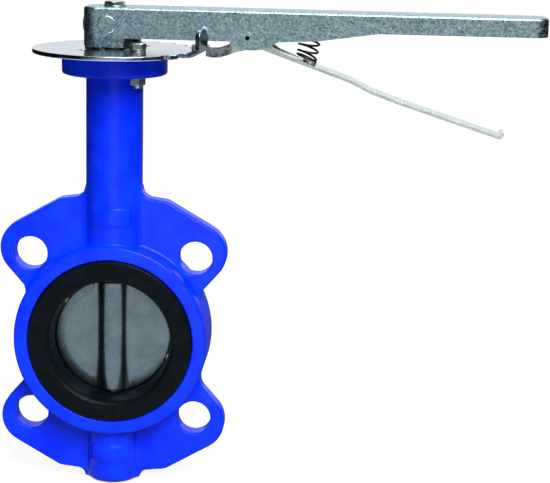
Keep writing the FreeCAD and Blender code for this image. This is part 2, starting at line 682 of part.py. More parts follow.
def make_lever_hub():
    """Block inside the deep end of the handle, with the square hole that turns the stem."""
    left = LEVER_LEFT_X + LEVER_T + BLOCK_GAP
    half = LEVER_HALF - LEVER_T - BLOCK_GAP
    corner = LEVER_CORNER_R - LEVER_T
    block = rounded_box(left, BLOCK_RIGHT_X, half, LEVER_FOOT_Z, BLOCK_TOP_Z, corner,
                        BLOCK_CORNER_R)
    half_square = SQUARE / 2 + RUNNING
    side_x, side_z = HUB_RIVET_SIDE
    shank = HUB_RIVET_SHANK_R + RUNNING
    depth = HUB_RIVET_DEPTH + RUNNING
    cuts = [
        box(-half_square, half_square, -half_square, half_square, LEVER_FOOT_Z - 1, BLOCK_TOP_Z + 1),
        cylinder_y(shank, -half - 1, -half + depth, side_x, side_z),
        cylinder_y(shank, half - depth, half + 1, side_x, side_z),
        end_rivet_cylinder(shank, left - 1, left + depth),
    ]
    return solid_of(block.cut(cuts))


def rivet_z(head_r, shank_length):
    """Rivet on Z, with its shank below zero and its low round head above."""
    head = cylinder_z(head_r, 0, HUB_RIVET_HEAD_T)
    head = fillet_where(head, HUB_RIVET_HEAD_T * 0.8, lambda e: e.BoundBox.ZMin > HUB_RIVET_HEAD_T / 2)
    return solid_of(head.fuse(cylinder_z(HUB_RIVET_SHANK_R, -shank_length, 0.1)))


def make_hub_rivets():
    side_x, side_z = HUB_RIVET_SIDE
    reach = LEVER_T + BLOCK_GAP + HUB_RIVET_DEPTH
    sites = (
        (HUB_RIVET_HEAD_R, Vector(side_x, -LEVER_HALF, side_z), Vector(0, -1, 0)),
        (HUB_RIVET_HEAD_R, Vector(side_x, LEVER_HALF, side_z), Vector(0, 1, 0)),
        (HUB_RIVET_END_HEAD_R, Vector(LEVER_LEFT_X, 0, HUB_RIVET_END_Z), Vector(-1, 0, 0)),
    )
    rivets = []
    for head_r, place, outward in sites:
        rivet = rivet_z(head_r, reach)
        rivet.Placement = FreeCAD.Placement(place, Rotation(Vector(0, 0, 1), outward))
        rivets.append(rivet)
    return Part.makeCompound(rivets)


def make_lever_washer():
    return tube_z(LEVER_BOLT_R + RUNNING, LEVER_WASHER_R, LEVER_TOP_Z, LEVER_TOP_Z + LEVER_WASHER_T)


def make_lever_bolt():
    head_z = LEVER_TOP_Z + LEVER_WASHER_T
    head = crowned_hex(LEVER_BOLT_AF, head_z, head_z + LEVER_BOLT_HEAD_H, 0, 0, 0)
    shank = cylinder_z(LEVER_BOLT_R, LEVER_TOP_Z - LEVER_BOLT_DEPTH, head_z + 1)
    return solid_of(head.fuse(shank))


# ---- trigger --------------------------------------------------------------
def make_trigger_pin():
    pin = cylinder_y(PIN_R, -LEVER_HALF - 0.1, LEVER_HALF + 0.1, PIVOT_X, PIVOT_Z)
    for y0, y1 in ((-LEVER_HALF - PIN_HEAD_T, -LEVER_HALF), (LEVER_HALF, LEVER_HALF + PIN_HEAD_T)):
        pin = pin.fuse(cylinder_y(PIN_HEAD_R, y0, y1, PIVOT_X, PIVOT_Z))
    outer = LEVER_HALF + PIN_HEAD_T
    for y0, y1 in ((-outer, -outer + PIN_DIMPLE_DEPTH), (outer - PIN_DIMPLE_DEPTH, outer)):
        pin = pin.cut(cylinder_y(PIN_DIMPLE_R, y0, y1, PIVOT_X, PIVOT_Z))
    return solid_of(pin)


def trigger_plan(inset):
    """The trigger seen from above: full width behind the pivot, drawn in towards the tongue."""
    front_x = TRIGGER_FRONT_X - 1
    front, rear = TRIGGER_FRONT_HALF - inset, TRIGGER_HALF - inset
    side = [(front_x, -front), (TRIGGER_NECK_X, -rear), (TRIGGER_END_X, -rear)]
    outline = side + [(x, -y) for x, y in side[::-1]]
    corners = [Vector(x, y, 0) for x, y in outline]
    face = Part.Face(Part.makePolygon(corners + corners[:1]))
    return face.extrude(Vector(0, 0, LEVER_TOP_Z))


def make_trigger_lever():
    outside = trigger_plan(0)
    strip = mitred_strip(TRIGGER_UNDERSIDE, TRIGGER_T)
    sheet = prism_y(strip, -TRIGGER_HALF, TRIGGER_HALF).common(outside)
    cheek = TRIGGER_UNDERSIDE[:TRIGGER_HEEL + 1] + TRIGGER_CHEEK
    walls = prism_y(cheek, -TRIGGER_HALF, TRIGGER_HALF).common(outside).cut(trigger_plan(TRIGGER_T))
    pieces = [walls, curled_tip(), front_hook(), spring_seat()]
    for y0 in (-TRIGGER_HALF, TRIGGER_HALF - TRIGGER_T):
        pieces.append(cylinder_y(EAR_ROUND_R, y0, y0 + TRIGGER_T, PIVOT_X, PIVOT_Z))
    hole = cylinder_y(PIN_R + RUNNING, -2 * LEVER_HALF, 2 * LEVER_HALF, PIVOT_X, PIVOT_Z)
    return solid_of(sheet.fuse(pieces).cut(hole))


def frame_of(start, finish):
    """Directions along and square to a line of the trigger's side view."""
    along = Vector(finish[0] - start[0], 0, finish[1] - start[1])
    along.normalize()
    return along, Vector(-along.z, 0, along.x)


def curled_tip():
    """The sheet's far edge, rolled upwards so that it has no sharp edge for the fingers."""
    up = frame_of(*TRIGGER_UNDERSIDE[-2:])[1]
    x, z = TRIGGER_UNDERSIDE[-1]
    near = Vector(x, -TRIGGER_HALF, z)
    far = Vector(x, TRIGGER_HALF, z)
    sheet_edge = [near, near + up * TRIGGER_T, far + up * TRIGGER_T, far, near]
    section = Part.Face(Part.makePolygon(sheet_edge))
    return section.revolve(near + up * CURL_R, Vector(0, -1, 0), CURL_TURN)


def front_hook():
    """Front wall, tongue over the plate and the tooth that drops into a notch."""
    wall_back = TRIGGER_FRONT_X + TRIGGER_T
    wall = box(TRIGGER_FRONT_X, wall_back, -TRIGGER_FRONT_HALF, TRIGGER_FRONT_HALF,
               TRIGGER_FRONT_Z, TONGUE_TOP_Z)
    tongue = box(TONGUE_TIP_X, wall_back, -TONGUE_W / 2, TONGUE_W / 2,
                 TONGUE_TOP_Z - TRIGGER_T, TONGUE_TOP_Z)
    tooth = box(TONGUE_TIP_X, TONGUE_TIP_X + TRIGGER_T, -TONGUE_W / 2, TONGUE_W / 2,
                TOOTH_BOTTOM_Z, TONGUE_TOP_Z)
    return wall.fuse([tongue, tooth])


def spring_seat():
    """Low round boss on the sheet that keeps the foot of the spring in place."""
    heel, far = TRIGGER_UNDERSIDE[TRIGGER_HEEL:TRIGGER_HEEL + 2]
    along, up = frame_of(heel, far)
    under_spring = Vector(heel[0], 0, heel[1]) + along * ((SPRING_X - heel[0]) / along.x)
    foot = under_spring + up * (TRIGGER_T / 2)
    return Part.makeCylinder(SPRING_SEAT_R, SPRING_SEAT_H, foot, up)


def make_trigger_spring():
    """Wire coiled round an upright axis. Its round section is four arcs, square to the helix."""
    z0, z1 = SPRING_Z
    pitch = (z1 - z0) / SPRING_TURNS
    helix = Part.makeHelix(pitch, z1 - z0, SPRING_MEAN_R)
    along = Vector(0, 2 * math.pi * SPRING_MEAN_R, pitch).normalize()
    start = Vector(SPRING_MEAN_R, 0, 0)
    section = [Part.makeCircle(SPRING_WIRE_R, start, along, turn, turn + 90) for turn in (0, 90, 180, 270)]
    spring = Part.Wire(helix).makePipeShell([Part.Wire(section)], True, True)
    spring.translate(Vector(SPRING_X, 0, z0))
    return spring


PARTS = {
    "valve_body": make_valve_body,
    "seat_liner": make_seat_liner,
    "disc": make_disc,
    "upper_stem": make_upper_stem,
    "lower_stem": make_lower_stem,
    "upper_bushing": lambda: make_bushing(UPPER_BUSHING_Z),
    "middle_bushing": lambda: make_bushing(MIDDLE_BUSHING_Z),
    "lower_bushing": lambda: make_bushing(LOWER_BUSHING_Z),
    "stem_o_rings": make_stem_o_rings,
    "thrust_washers": make_thrust_washers,
    "split_ring": make_split_ring,
    "retaining_circlip": make_retaining_circlip,
    "bottom_plug": make_bottom_plug,
    "bottom_plug_seal": make_bottom_plug_seal,
    "notch_plate": make_notch_plate,
    "plate_bolts": make_plate_bolts,
    "plate_spring_washers": make_plate_spring_washers,
    "plate_nuts": make_plate_nuts,
    "lever_channel": make_lever_channel,
    "lever_hub": make_lever_hub,
    "hub_rivets": make_hub_rivets,
    "lever_washer": make_lever_washer,
    "lever_bolt": make_lever_bolt,
    "trigger_pin": make_trigger_pin,
    "trigger_lever": make_trigger_lever,
    "trigger_spring": make_trigger_spring,
}

os.makedirs("parts", exist_ok=True)
for node, make in PARTS.items():
    make().exportStep("parts/%s.step" % node)
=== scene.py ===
import json
import math

import bmesh
import bpy
from mathutils import Matrix, Vector

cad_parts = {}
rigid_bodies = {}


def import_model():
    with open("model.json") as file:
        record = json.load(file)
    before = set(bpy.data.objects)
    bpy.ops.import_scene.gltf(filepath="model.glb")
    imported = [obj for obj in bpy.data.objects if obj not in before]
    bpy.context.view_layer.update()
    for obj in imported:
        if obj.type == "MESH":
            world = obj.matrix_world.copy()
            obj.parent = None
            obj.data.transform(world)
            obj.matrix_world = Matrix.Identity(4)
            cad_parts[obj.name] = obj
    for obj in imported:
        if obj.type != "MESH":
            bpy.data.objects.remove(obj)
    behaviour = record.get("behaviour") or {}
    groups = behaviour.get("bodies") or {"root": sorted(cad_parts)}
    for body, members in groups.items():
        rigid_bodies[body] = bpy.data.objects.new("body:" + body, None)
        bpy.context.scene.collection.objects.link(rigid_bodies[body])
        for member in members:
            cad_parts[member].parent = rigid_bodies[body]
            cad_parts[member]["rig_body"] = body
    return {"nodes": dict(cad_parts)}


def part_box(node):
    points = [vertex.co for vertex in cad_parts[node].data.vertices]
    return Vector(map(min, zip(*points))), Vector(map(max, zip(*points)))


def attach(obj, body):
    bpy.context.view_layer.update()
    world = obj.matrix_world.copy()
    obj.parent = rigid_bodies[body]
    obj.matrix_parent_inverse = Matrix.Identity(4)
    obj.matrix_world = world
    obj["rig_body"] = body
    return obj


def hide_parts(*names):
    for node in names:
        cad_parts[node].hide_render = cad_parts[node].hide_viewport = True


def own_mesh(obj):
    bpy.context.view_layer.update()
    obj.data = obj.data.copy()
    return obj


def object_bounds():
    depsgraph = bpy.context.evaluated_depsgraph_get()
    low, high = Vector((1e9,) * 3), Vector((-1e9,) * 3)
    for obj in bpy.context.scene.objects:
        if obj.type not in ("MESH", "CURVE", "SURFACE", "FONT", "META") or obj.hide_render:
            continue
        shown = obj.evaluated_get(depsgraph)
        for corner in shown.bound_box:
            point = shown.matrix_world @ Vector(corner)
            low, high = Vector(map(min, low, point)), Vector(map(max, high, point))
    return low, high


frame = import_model()
NODES = frame["nodes"]
CAD_LOW, CAD_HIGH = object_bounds()
MM = 0.001

# ---- camera: looks at the pipe face from slightly above ----------------------
CAMERA_AT = Vector((0.1717, -1.1726, 0.3238))
CAMERA_AZIMUTH = math.radians(3.01)
CAMERA_DOWN = math.radians(12.25)
CAMERA_ROLL = math.radians(1.30)
CAMERA_LENS = 115.56

# ---- studio -----------------------------------------------------------------
FLOOR_GAP = 0.2 * MM
FLOOR_X = (-0.7, 0.9)
FLOOR_Y = (-2.4, 0.0, 5.5)
FLOOR_SHADE = 0.14
FLOOR_GLOW = 0.90
WORLD_LIGHT = 0.15
BACKDROP_Y = 3.4
BACKDROP_HALF = 3.0
BACKDROP_SHADE = 0.05
BACKDROP_GLOW = 0.95
CARD_X = (-0.75, 0.95)
CARD_Y = (-3.5, 1.5)
CARD_Z = (-0.1, 1.2)
SUN_STRENGTH = 4.3
SUN_SIZE = math.radians(40)
SUN_TURN = (math.radians(44), 0.0, math.radians(22))
KEY_OFFSET = Vector((0.55, -0.85, 1.0))
KEY_SIZE = 0.6
KEY_POWER = 6.0
TOP_OFFSET = Vector((0.05, 0.10, 0.85))
TOP_SIZE = 0.9
TOP_POWER = 3.0
LOW_OFFSET = Vector((-0.05, -0.55, -0.10))
LOW_SIZE = 0.3
LOW_POWER = 0.9

# ---- how each piece is finished ----------------------------------------------
WELD = 0.002 * MM
FLAT_ANGLE = math.radians(0.7)
EDGE_ANGLE = math.radians(28)
SHARP_ANGLE = math.radians(40)
FLAT_FACE_WEIGHT = 90
SOFTENING = 0.5
MOST_TRIANGLES = 190000
EDGE_SAMPLES = 4
PIN_HOLLOW_R = 1.6 * MM

# ---- spring: closed end coils, and a foot that leans with the trigger's sheet -----
WIRE_R = 0.75 * MM
SPRING_TURNS = 7.5
CLOSED_TURNS = 1.0
CLOSED_RISE = 1.5 * MM
FOOT_DROP = 1.4 * MM
FOOT_SHIFT = -1.3 * MM
HEAD_SHIFT = 1.4 * MM
FOOT_TILT = math.radians(22)
STEPS_A_TURN = 48


# ---- mesh helpers -------------------------------------------------------------
def link(name, mesh):
    piece = bpy.data.objects.new(name, mesh)
    bpy.context.scene.collection.objects.link(piece)
    return piece


def place(piece, node):
    """Put a finished piece where its CAD node was, on the same body."""
    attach(piece, NODES[node]["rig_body"])
    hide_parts(node)
    return piece


def welded(node):
    """A closed bmesh of a CAD node, with the facets of each flat face joined."""
    bm = bmesh.new()
    bm.from_mesh(NODES[node].data)
    bmesh.ops.remove_doubles(bm, verts=bm.verts, dist=WELD)
    bmesh.ops.dissolve_limit(bm, angle_limit=FLAT_ANGLE, verts=bm.verts, edges=bm.edges)
    return bm


def mesh_of(bm, name):
    mesh = bpy.data.meshes.new(name)
    bm.to_mesh(mesh)
    bm.free()
    mesh.shade_smooth()
    return mesh


def eased(node, width, segments=2):
    """The CAD shape with its outer edges broken by a small round, as on a pressed or turned part."""
    bm = welded(node)
    edges = [e for e in bm.edges if e.is_manifold and e.is_convex and e.calc_face_angle() > EDGE_ANGLE]
    bmesh.ops.bevel(
        bm,
        geom=edges,
        offset=width,
        offset_type="OFFSET",
        segments=segments,
        profile=0.5,
        affect="EDGES",
        clamp_overlap=True,
    )
    piece = link(node + "_finished", mesh_of(bm, node + "_finished"))
    piece.data.set_sharp_from_angle(angle=SHARP_ANGLE)
    normals = piece.modifiers.new("even_faces", "WEIGHTED_NORMAL")
    normals.keep_sharp = True
    normals.weight = FLAT_FACE_WEIGHT
    return place(piece, node)


def cast(node, voxel, rounds):
    """The CAD shape as a casting: remeshed at the voxel's size, then softened at every edge."""
    bm = bmesh.new()
    bm.from_mesh(NODES[node].data)
    bmesh.ops.remove_doubles(bm, verts=bm.verts, dist=WELD)
    rough = link(node + "_rough", mesh_of(bm, node + "_rough"))
    remesh = rough.modifiers.new("skin", "REMESH")
    remesh.mode = "VOXEL"
    remesh.voxel_size = voxel
    remesh.use_smooth_shade = True
    smooth = rough.modifiers.new("soften", "SMOOTH")
    smooth.factor = SOFTENING
    smooth.iterations = rounds
    mesh = applied(rough)
    triangles = 2 * len(mesh.polygons)
    if triangles > MOST_TRIANGLES:
        rough.modifiers.clear()
        rough.data = mesh
        thin = rough.modifiers.new("thin", "DECIMATE")
        thin.ratio = MOST_TRIANGLES / triangles
        mesh = applied(rough)
    bpy.data.objects.remove(rough)
    mesh.name = node + "_casting"
    mesh.shade_smooth()
    return place(link(node + "_casting", mesh), node)


def applied(piece):
    """The mesh of a piece with its modifiers applied."""
    bpy.context.view_layer.update()
    graph = bpy.context.evaluated_depsgraph_get()
    return bpy.data.meshes.new_from_object(piece.evaluated_get(graph))


def wire(name, points, radius, sides=12):
    """A round wire swept along points, with closed ends."""
    curve = bpy.data.curves.new(name, "CURVE")
    curve.dimensions = "3D"
    curve.bevel_depth = radius
    curve.bevel_resolution = sides // 4
    curve.use_fill_caps = True
    line = curve.splines.new("POLY")
    line.points.add(len(points) - 1)
    for spot, point in zip(line.points, points):
        spot.co = (*point, 1)
    rod = link(name + "_curve", curve)
    mesh = applied(rod)
    bpy.data.objects.remove(rod)
    mesh.shade_smooth()
    return link(name, mesh)


# ---- node helpers -------------------------------------------------------------
class Finish:
    """A Principled material, with short calls that wire patterns in object space into it."""

    def __init__(self, name, color, metallic, roughness, specular=0.5):
        self.material = bpy.data.materials.new(name)
        self.material.use_nodes = True
        self.tree = self.material.node_tree
        self.shader = self.tree.nodes["Principled BSDF"]
        self.set("Base Color", (*color, 1))
        self.set("Metallic", metallic)
        self.set("Roughness", roughness)
        self.set("Specular IOR Level", specular)
        self.place = self.add("ShaderNodeTexCoord").outputs["Object"]

    def set(self, socket, value):
        self.shader.inputs[socket].default_value = value

    def add(self, kind, **inputs):
        node = self.tree.nodes.new(kind)
        for key, value in inputs.items():
            self.join(value, node.inputs[key.replace("_", " ")])
        return node

    def join(self, value, socket):
        if isinstance(value, bpy.types.NodeSocket):
            self.tree.links.new(value, socket)
        else:
            socket.default_value = value

    def drive(self, socket, value):
        self.join(value, self.shader.inputs[socket])

    def noise(self, size, detail=3.0, roughness=0.5, distortion=0.0, vector=None):
        """Noise whose blotches are about size metres across."""
        node = self.add("ShaderNodeTexNoise", Scale=1 / size, Detail=detail, Roughness=roughness)
        node.inputs["Distortion"].default_value = distortion
        self.join(vector or self.place, node.inputs["Vector"])
        return node.outputs["Fac"]

    def stretched(self, x, y, z):
        """The object's own place, stretched so that a pattern runs along one direction."""
        node = self.add("ShaderNodeMapping", Vector=self.place)
        node.inputs["Scale"].default_value = (x, y, z)
        return node.outputs["Vector"]

    def crystals(self, size, wobble):
        """A flat random shade for each crystal of a zinc coat, about size metres across."""
        shift = self.add("ShaderNodeTexNoise", Scale=1 / size, Detail=2.0)
        self.join(self.place, shift.inputs["Vector"])
        scaled = self.add("ShaderNodeVectorMath")
        scaled.operation = "SCALE"
        self.join(shift.outputs["Color"], scaled.inputs[0])
        scaled.inputs["Scale"].default_value = wobble
        moved = self.add("ShaderNodeVectorMath")
        moved.operation = "ADD"
        self.join(self.place, moved.inputs[0])
        self.join(scaled.outputs[0], moved.inputs[1])
        cells = self.add("ShaderNodeTexVoronoi", Scale=1 / size)
        self.join(moved.outputs[0], cells.inputs["Vector"])
        parts = self.add("ShaderNodeSeparateColor")
        self.join(cells.outputs["Color"], parts.inputs[0])
        return parts.outputs[0], parts.outputs[1]

    def spread(self, factor, low, high, start=0.0, end=1.0):
        """Map factor from start..end to low..high."""
        node = self.add("ShaderNodeMapRange")
        self.join(factor, node.inputs["Value"])
        node.inputs["From Min"].default_value = start
        node.inputs["From Max"].default_value = end
        node.inputs["To Min"].default_value = low
        node.inputs["To Max"].default_value = high
        return node.outputs["Result"]

    def blend(self, factor, a, b):
        """A colour between a and b."""
        node = self.add("ShaderNodeMix")
        node.data_type = "RGBA"
        self.join(factor, node.inputs["Factor"])
        colour_sockets = [socket for socket in node.inputs if socket.type == "RGBA"]
        for socket, value in zip(colour_sockets, (a, b)):
            self.join((*value, 1) if isinstance(value, tuple) else value, socket)
        return next(o for o in node.outputs if o.type == "RGBA")

    def math(self, operation, a, b):
        node = self.add("ShaderNodeMath")
        node.operation = operation
        self.join(a, node.inputs[0])
        self.join(b, node.inputs[1])
        return node.outputs[0]

    def edges(self, width):
        """One along outer and inner edges within about width metres, zero on open faces."""
        round_over = self.add("ShaderNodeBevel", Radius=width)
        round_over.samples = EDGE_SAMPLES
        true_normal = self.add("ShaderNodeNewGeometry").outputs["Normal"]
        dot = self.add("ShaderNodeVectorMath")
        dot.operation = "DOT_PRODUCT"
        self.join(round_over.outputs["Normal"], dot.inputs[0])
        self.join(true_normal, dot.inputs[1])
        return self.spread(dot.outputs["Value"], 1.0, 0.0, 0.86, 0.99)

    def relief(self, layers):
        """Bump layers, each a height pattern and its depth in metres."""
        normal = None
        for height, depth in layers:
            bump = self.add("ShaderNodeBump", Height=height, Distance=depth, Strength=1.0)
            if normal:
                self.join(normal, bump.inputs["Normal"])
            normal = bump.outputs["Normal"]
        self.drive("Normal", normal)


# ---- materials ------------------------------------------------------------------
def blue_enamel():
    """Fusion-bonded epoxy on sand-cast iron: glossy, a little lumpy, edges painted lighter: a thinner
    coat there and a painted highlight.
    """
    f = Finish("blue_enamel", (0.001, 0.028, 0.86), 0.0, 0.3, 0.12)
    patches = f.spread(f.noise(18 * MM, 3.0, 0.55), 0, 1, 0.35, 0.65)
    shade = f.blend(patches, (0.0005, 0.020, 0.82), (0.002, 0.036, 0.92))
    # edges painted lighter blue: partly the thinner coat, partly a painted highlight
    edge_tone_and_highlight = f.math("MULTIPLY", f.edges(0.9 * MM), 0.4)
    f.drive("Base Color", f.blend(edge_tone_and_highlight, shade, (0.02, 0.085, 0.96)))
    f.drive("Roughness", f.spread(f.noise(7 * MM, 4.0), 0.20, 0.34, 0.3, 0.7))
    f.relief(((f.noise(9 * MM, 3.0, 0.5), 0.16 * MM), (f.noise(1.6 * MM, 2.0, 0.5), 0.022 * MM)))
    return f.material


def black_rubber():
    """Moulded EPDM: dull, fine grained, with a little pale bloom."""
    f = Finish("black_rubber", (0.002, 0.003, 0.005), 0.0, 0.36, 0.06)
    bloom = f.spread(f.noise(9 * MM, 5.0, 0.65), 0, 1, 0.45, 0.75)
    f.drive("Base Color", f.blend(bloom, (0.001, 0.0025, 0.004), (0.003, 0.006, 0.009)))
    f.drive("Roughness", f.spread(f.noise(3 * MM, 4.0), 0.30, 0.46, 0.3, 0.7))
    f.relief(((f.noise(0.35 * MM, 3.0), 0.02 * MM), (f.noise(5 * MM, 2.0), 0.05 * MM)))
    return f.material


def satin_iron(name, light, dark, roughness):
    """Plated or blasted metal with a soft sheen, and edges painted brighter: wear and a painted
    highlight.
    """
    f = Finish(name, light, 1.0, roughness)
    cloud = f.spread(f.noise(11 * MM, 4.0, 0.6), 0, 1, 0.35, 0.65)
    # edges painted brighter: partly wear, partly a painted highlight
    edge_tone_and_highlight = f.math("MULTIPLY", f.edges(0.5 * MM), 0.5)
    brighter = tuple(min(1.0, c * 1.5) for c in light)
    f.drive("Base Color", f.blend(edge_tone_and_highlight, f.blend(cloud, dark, light), brighter))
    grain = f.noise(0.5 * MM, 3.0, 0.6)
    f.drive("Roughness", f.spread(grain, roughness - 0.06, roughness + 0.08, 0.3, 0.7))
    f.relief(((grain, 0.012 * MM), (f.noise(4 * MM, 3.0), 0.03 * MM)))
    return f.material


def spangled_zinc(name, dark, light, size, roughness):
    """Hot-dip zinc: crystals of slightly different shade and tilt, edges painted brighter: wear and a
    painted highlight.
    """
    f = Finish(name, light, 1.0, roughness)
    tone, tilt = f.crystals(size, size * 0.9)
    fine, fine_tilt = f.crystals(size * 0.45, size * 0.4)
    mixed = f.math("ADD", f.math("MULTIPLY", tone, 0.6), f.math("MULTIPLY", fine, 0.4))
    cloud = f.noise(14 * MM, 3.0, 0.6)
    shade = f.math("ADD", f.math("MULTIPLY", mixed, 0.75), f.math("MULTIPLY", cloud, 0.25))
    pale = tuple(min(1.0, c * 1.35) for c in light)
    base = f.blend(f.spread(shade, 0, 1, 0.22, 0.78), dark, light)
    # edges painted pale: partly wear, partly a painted highlight
    f.drive("Base Color", f.blend(f.math("MULTIPLY", f.edges(0.5 * MM), 0.3), base, pale))
    f.drive("Roughness", f.spread(tilt, roughness - 0.09, roughness + 0.10))
    f.relief(((tilt, 0.016 * MM), (fine_tilt, 0.008 * MM), (f.noise(0.6 * MM, 3.0), 0.008 * MM)))
    return f.material


def turned_steel(name, light, dark, roughness, across):
    """Machined bar: fine tool marks across the axis, a few dull patches."""
    f = Finish(name, light, 1.0, roughness)
    marks = f.noise(1.0 * MM, 2.0, vector=f.stretched(*across))
    dull = f.spread(f.noise(6 * MM, 4.0, 0.6), 0, 1, 0.4, 0.7)
    f.drive("Base Color", f.blend(dull, light, dark))
    f.drive("Roughness", f.spread(dull, roughness, roughness + 0.15))
    f.relief(((marks, 0.012 * MM),))
    return f.material


def bright_plate():
    """Rolled and plated sheet: smooth, with faint rolling streaks, clouds and a cut edge painted
    lighter: its own tone and a painted highlight.
    """
    f = Finish("zinc_plate", (0.50, 0.55, 0.62), 1.0, 0.16)
    streaks = f.noise(3 * MM, 3.0, 0.6, vector=f.stretched(0.12, 1, 1))
    clouds = f.noise(16 * MM, 3.0, 0.6)
    mixed = f.math("ADD", f.math("MULTIPLY", streaks, 0.4), f.math("MULTIPLY", clouds, 0.6))
    tone = f.blend(f.spread(mixed, 0, 1, 0.3, 0.7), (0.34, 0.42, 0.50), (0.50, 0.60, 0.69))
    # cut edges painted lighter: partly their own tone, partly a painted highlight
    cut_edge_and_highlight = f.math("MULTIPLY", f.edges(0.5 * MM), 0.5)
    f.drive("Base Color", f.blend(cut_edge_and_highlight, tone, (0.66, 0.72, 0.74)))
    f.drive("Roughness", f.spread(streaks, 0.13, 0.24, 0.3, 0.7))
    f.relief(((streaks, 0.004 * MM), (f.noise(6 * MM, 2.0), 0.01 * MM)))
    return f.material


def black_spring():
    """Oil-blackened spring wire with a few rubbed, brighter turns."""
    f = Finish("spring_black", (0.004, 0.005, 0.008), 0.0, 0.34, 0.3)
    rubbed = f.spread(f.noise(2.2 * MM, 3.0, 0.6), 0, 1, 0.55, 0.8)
    f.drive("Base Color", f.blend(rubbed, (0.003, 0.004, 0.007), (0.02, 0.022, 0.028)))
    f.drive("Roughness", f.spread(f.noise(1.5 * MM, 2.0), 0.28, 0.45, 0.3, 0.7))
    f.relief(((f.noise(0.4 * MM, 2.0), 0.01 * MM),))
    return f.material


def studio_paper(name, shade, glow):
    """Seamless matt studio paper, lit from behind where glow is above zero."""
    f = Finish(name, (shade, shade, shade), 0.0, 0.9, 0.0)
    f.set("Emission Color", (1, 1, 1, 1))
    f.set("Emission Strength", glow)
    f.relief(((f.noise(2 * MM, 3.0), 0.02 * MM),))
    return f.material


def paint(piece, material):
    piece.data.materials.clear()
    piece.data.materials.append(material)


def paint_hollow_shade(piece, material):
    """Paint the small hollow along the middle of the trigger's pin black, as painted shade in the hole.
    """
    low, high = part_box("trigger_pin")
    axis_x, axis_z = (low.x + high.x) / 2, (low.z + high.z) / 2
    mesh = piece.data
    mesh.materials.append(material)
    for face in mesh.polygons:
        corners = [mesh.vertices[i].co for i in face.vertices]
        if max(math.hypot(c.x - axis_x, c.z - axis_z) for c in corners) < PIN_HOLLOW_R:
            face.material_index = 1


# ---- pieces that Blender makes -----------------------------------------------------
def coil_height(turn, rise):
    """Height along the spring: one closed turn at each end, an even pitch between."""
    open_turns = SPRING_TURNS - 2 * CLOSED_TURNS
    pitch = (rise - 2 * CLOSED_RISE) / open_turns
    foot = CLOSED_RISE * min(turn, CLOSED_TURNS) / CLOSED_TURNS
    body = pitch * min(max(turn - CLOSED_TURNS, 0), open_turns)
    head = CLOSED_RISE * max(turn - CLOSED_TURNS - open_turns, 0) / CLOSED_TURNS
    return foot + body + head


def coil_points(foot, head, mean_r):
    """Centre line of the spring: turns lean with the trigger at the foot, and are level at the head."""
    points = []
    rise = head.z - foot.z
    for i in range(int(STEPS_A_TURN * SPRING_TURNS) + 1):
        turn = i / STEPS_A_TURN
        height = coil_height(turn, rise)
        above = max(1 - height / rise, 0)
        tilt = FOOT_TILT * above ** 1.5
        across = mean_r * math.cos(2 * math.pi * turn)
        x = head.x + (foot.x - head.x) * above ** 2 + across * math.cos(tilt)
        y = mean_r * math.sin(2 * math.pi * turn)
        points.append(Vector((x, y, foot.z + height - across * math.sin(tilt))))
    return points


def make_spring():
    low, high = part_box("trigger_spring")
    centre_x = (low.x + high.x) / 2
    mean_r = (high.y - low.y) / 2 - WIRE_R
    foot = Vector((centre_x + FOOT_SHIFT, 0, low.z + WIRE_R - FOOT_DROP))
    head = Vector((centre_x + HEAD_SHIFT, 0, high.z - WIRE_R))
    piece = wire("trigger_spring_coil", coil_points(foot, head, mean_r), WIRE_R)
    place(piece, "trigger_spring")
    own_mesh(piece)
    return piece


# ---- studio ---------------------------------------------------------------------------
def make_camera():
    flat = math.cos(CAMERA_DOWN)
    back = Vector(
        (
            math.sin(CAMERA_AZIMUTH) * flat,
            -math.cos(CAMERA_AZIMUTH) * flat,
            math.sin(CAMERA_DOWN),
        )
    )
    level = Vector((0, 0, 1)).cross(back).normalized()
    upright = back.cross(level)
    right = math.cos(CAMERA_ROLL) * level + math.sin(CAMERA_ROLL) * upright
    up = back.cross(right)
    data = bpy.data.cameras.new("camera")
    data.lens = CAMERA_LENS
    camera = bpy.data.objects.new("camera", data)
    bpy.context.scene.collection.objects.link(camera)
    turn = Matrix((right, up, back)).transposed().to_4x4()
    camera.matrix_world = Matrix.Translation(CAMERA_AT) @ turn
    bpy.context.scene.camera = camera


def sheet_between(name, low, high, material):
    """A flat staging sheet that fills the box from low to high, which is thin along one axis."""
    thin = min(range(3), key=lambda i: high[i] - low[i])
    u, v = [i for i in range(3) if i != thin]
    corners = []
    for a, b in ((low[u], low[v]), (high[u], low[v]), (high[u], high[v]), (low[u], high[v])):
        corner = [low[thin]] * 3
        corner[u], corner[v] = a, b
        corners.append(corner)
    mesh = bpy.data.meshes.new(name)
    mesh.from_pydata(corners, [], [(0, 1, 2, 3)])
    sheet = link(name, mesh)
    paint(sheet, material)
    return sheet


def make_stage():
    """Pale floor, a lit backdrop for the flat tops to reflect, and dark cards at both sides."""
    ground = CAD_LOW.z - FLOOR_GAP
    paper = studio_paper("studio_paper", FLOOR_SHADE, FLOOR_GLOW)
    for name, y0, y1 in zip(("studio_floor_front", "studio_floor_back"), FLOOR_Y, FLOOR_Y[1:]):
        floor = sheet_between(name, (FLOOR_X[0], y0, ground), (FLOOR_X[1], y1, ground), paper)
        floor.visible_diffuse = False
    floor.visible_glossy = False
    lit = studio_paper("backdrop_paper", BACKDROP_SHADE, BACKDROP_GLOW)
    low = (-BACKDROP_HALF, BACKDROP_Y, ground)
    high = (BACKDROP_HALF, BACKDROP_Y, ground + BACKDROP_HALF)
    backdrop = sheet_between("studio_backdrop", low, high, lit)
    backdrop.visible_diffuse = False
    black = studio_paper("card_paper", 0.0, 0.0)
    for i, x in enumerate(CARD_X):
        low, high = (x, CARD_Y[0], CARD_Z[0]), (x, CARD_Y[1], CARD_Z[1])
        card = sheet_between("studio_card_%d" % i, low, high, black)
        card.visible_camera = False
        card.visible_diffuse = False
        card.visible_shadow = False


